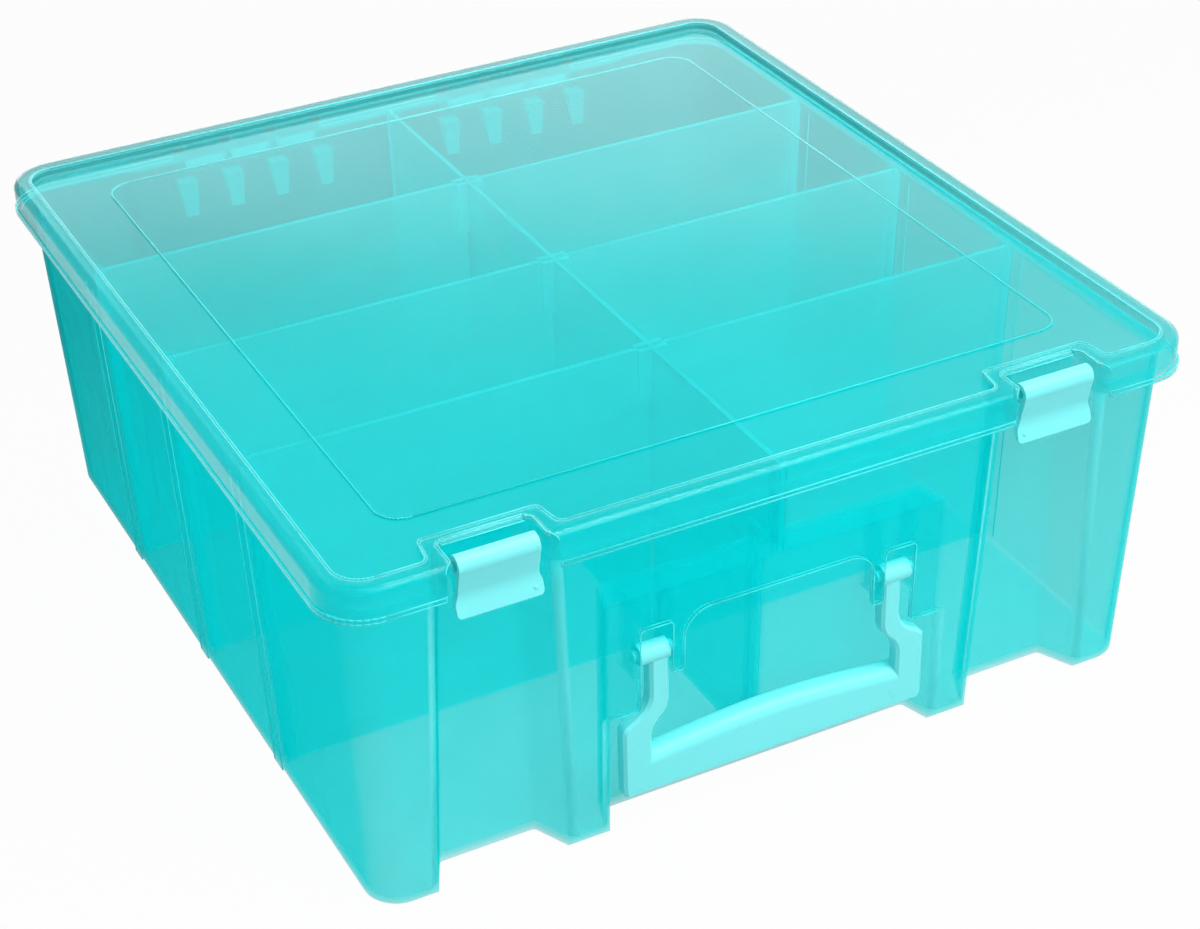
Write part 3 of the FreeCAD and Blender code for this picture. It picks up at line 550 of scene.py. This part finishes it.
def add_latch_dot(side, sign):
    """The small raised dot near the lower inner corner of each latch."""
    body = f"latch_{side}"
    tree = BVHTree.FromObject(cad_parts[body], bpy.context.evaluated_depsgraph_get())
    start = Vector((sign * DOT_X, BEFORE_FRONT, DOT_Z))
    place, normal, _, _ = tree.ray_cast(start, Vector((0, 1, 0)))
    aside = normal.orthogonal().normalized()
    other = normal.cross(aside)
    dome = bmesh.new()
    rows = []
    for ring in range(DOT_RINGS):
        tilt = math.pi / 2 * ring / DOT_RINGS
        level = place + normal * (DOT_RISE * math.sin(tilt) - DOT_RISE * DOT_SUNK_SHARE)
        radius = DOT_RADIUS * math.cos(tilt)
        row = []
        for spoke in range(DOT_SPOKES):
            turn = 2 * math.pi * spoke / DOT_SPOKES
            outward = aside * math.cos(turn) + other * math.sin(turn)
            row.append(dome.verts.new(level + outward * radius))
        rows.append(row)
    top = dome.verts.new(place + normal * DOT_RISE * (1 - DOT_SUNK_SHARE))
    for lower, upper in zip(rows, rows[1:]):
        for spoke in range(DOT_SPOKES):
            after = (spoke + 1) % DOT_SPOKES
            dome.faces.new((lower[spoke], lower[after], upper[after], upper[spoke]))
    for spoke in range(DOT_SPOKES):
        dome.faces.new((rows[-1][spoke], rows[-1][(spoke + 1) % DOT_SPOKES], top))
    add_piece(f"latch_dot_{side}", dome, trim_plastic, body)


# Painted highlight lines in the edges of the lid's rim and lip.
add_edge_glints(
    "lid_edge_glints", "lid", "lid", on_lid_outline, painted_edge_highlight,
    radius=0.00028,
)
# Painted shade: a deep line along the step at the edge of the lid's raised field.
add_edge_glints(
    "lid_field_edge_shade", "lid", "lid", on_field, painted_edge_shade,
    radius=0.00040,
)
add_edge_glints(
    "shroud_edge_glints", "base_tub", "base", on_shroud, painted_edge_highlight,
    radius=0.00025,
)
add_edge_glints(
    "side_pad_glints", "base_tub", "base", on_side_pad, painted_edge_highlight,
    radius=0.00025,
)
add_rim_glow()
add_rib_glints()
add_gusset_flanks()
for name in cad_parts:
    if "divider" in name:
        add_edge_glints(
            f"{name}_glints", name, "base", on_divider_top, painted_edge_highlight,
            radius=0.00016,
        )
add_latch_dot("left", -1)
add_latch_dot("right", 1)


# Studio

def mirrored(tree, path):
    """1 for what is seen in a gloss or through glass."""
    seen_in, seen_through = path.outputs["Is Glossy Ray"], path.outputs["Is Transmission Ray"]
    return calculate(tree, "MAXIMUM", seen_in, seen_through)


def make_world():
    """Soft light that is brightest from above, right and front, behind a plain white backdrop."""
    world = bpy.data.worlds.new("studio")
    scene.world = world
    world.use_nodes = True
    tree = world.node_tree
    tree.nodes.clear()
    toward = node(tree, "ShaderNodeTexCoord").outputs["Generated"]
    lean = node(tree, "ShaderNodeVectorMath", {
        0: toward, 1: Vector(BRIGHT_SIDE).normalized(),
    }, operation="DOT_PRODUCT")
    level = map_range(tree, lean.outputs["Value"], LEAN_RANGE, LIGHT_LEVELS)
    soft = node(tree, "ShaderNodeBackground", {"Color": WHITE, "Strength": level})
    white = node(tree, "ShaderNodeBackground", {"Color": WHITE, "Strength": 1.0})
    path = node(tree, "ShaderNodeLightPath")
    seen = calculate(tree, "MAXIMUM", path.outputs["Is Camera Ray"], mirrored(tree, path))
    shown = blend_shaders(tree, seen, soft.outputs["Background"], white.outputs["Background"])
    node(tree, "ShaderNodeOutputWorld", {"Surface": shown})


def floor_material():
    """Seen straight or mirrored, the floor is as white as the backdrop, save for a trace of shadow.
    Seen through the plastic, it shows a painted glow that fades out towards the rear, and its matte
    turns darker towards the rear, which is painted shade."""
    material, tree = new_material("floor_white")
    place = node(tree, "ShaderNodeTexCoord").outputs["Object"]
    spot = node(tree, "ShaderNodeSeparateXYZ", {"Vector": place})
    # Painted shade and painted glow follow this: 0 at the front, 1 at the rear.
    painted_falloff = map_range(tree, spot.outputs["Y"], FLOOR_PAINTED_FALLOFF_SPAN, (0.0, 1.0))
    mottle = calculate(tree, "MULTIPLY", noise(tree, place, FLOOR_MOTTLE_SCALE), FLOOR_MOTTLE)
    fade = calculate(tree, "MULTIPLY", painted_falloff, 1 - FLOOR_MOTTLE)
    fade = calculate(tree, "ADD", fade, mottle)
    matte = node(tree, "ShaderNodeBsdfDiffuse", {"Color": blend_colours(tree, fade, *FLOOR_PAINTED_FALLOFF_SHADES)})
    glow = node(tree, "ShaderNodeEmission", {"Strength": 1.0})
    path = node(tree, "ShaderNodeLightPath")
    camera_ray = path.outputs["Is Camera Ray"]
    straight = calculate(tree, "LESS_THAN", path.outputs["Transparent Depth"], NOTHING_BETWEEN)
    straight = calculate(tree, "MULTIPLY", camera_ray, straight)
    straight = calculate(tree, "MAXIMUM", straight, mirrored(tree, path))
    straight = calculate(tree, "MULTIPLY", straight, FLOOR_GLOW)
    # Painted light: the glow of the floor under the box, strongest at the front.
    through = calculate(tree, "SUBTRACT", 1.0, painted_falloff)
    through = calculate(tree, "MULTIPLY", through, FLOOR_PAINTED_GLOW_THROUGH)
    through = calculate(tree, "MULTIPLY", camera_ray, through)
    share = calculate(tree, "MAXIMUM", straight, through)
    shown = blend_shaders(tree, share, matte.outputs["BSDF"], glow.outputs["Emission"])
    node(tree, "ShaderNodeOutputMaterial", {"Surface": shown})
    return material


def make_floor():
    mesh = bpy.data.meshes.new("floor")
    corners = ((-1, -1), (1, -1), (1, 1), (-1, 1))
    mesh.from_pydata([(x * FLOOR_HALF, y * FLOOR_HALF, 0) for x, y in corners], [], [(0, 1, 2, 3)])
    mesh.materials.append(floor_material())
    floor = bpy.data.objects.new("floor", mesh)
    scene.collection.objects.link(floor)
    floor.location.z = -FLOOR_DROP


def add_lamp(name, place, aim, size, power):
    data = bpy.data.lights.new(name, "AREA")
    data.shape = "RECTANGLE"
    data.size, data.size_y = size
    data.energy = power
    lamp = bpy.data.objects.new(name, data)
    scene.collection.objects.link(lamp)
    lamp.location = place
    lamp.visible_camera = False
    if name in GLOSS_PANELS:
        lamp.visible_diffuse = False
        lamp.visible_transmission = False
    lamp.rotation_mode = "QUATERNION"
    lamp.rotation_quaternion = (Vector(aim) - Vector(place)).to_track_quat("-Z", "Y")


def make_camera():
    data = bpy.data.cameras.new("camera")
    data.lens = LENS_MM
    data.sensor_width = SENSOR_MM
    data.shift_x = SHIFT_X
    camera = bpy.data.objects.new("camera", data)
    scene.collection.objects.link(camera)
    back = (EYE - TARGET).normalized()
    right = Vector((0, 0, 1)).cross(back).normalized()
    up = back.cross(right)
    across = right * math.cos(ROLL) + up * math.sin(ROLL)
    upward = up * math.cos(ROLL) - right * math.sin(ROLL)
    turn = Matrix((across, upward, back)).transposed()
    camera.matrix_world = Matrix.Translation(EYE) @ turn.to_4x4()
    scene.camera = camera


make_world()
make_floor()
for name, settings in LAMPS.items():
    add_lamp(name, *settings)
make_camera()
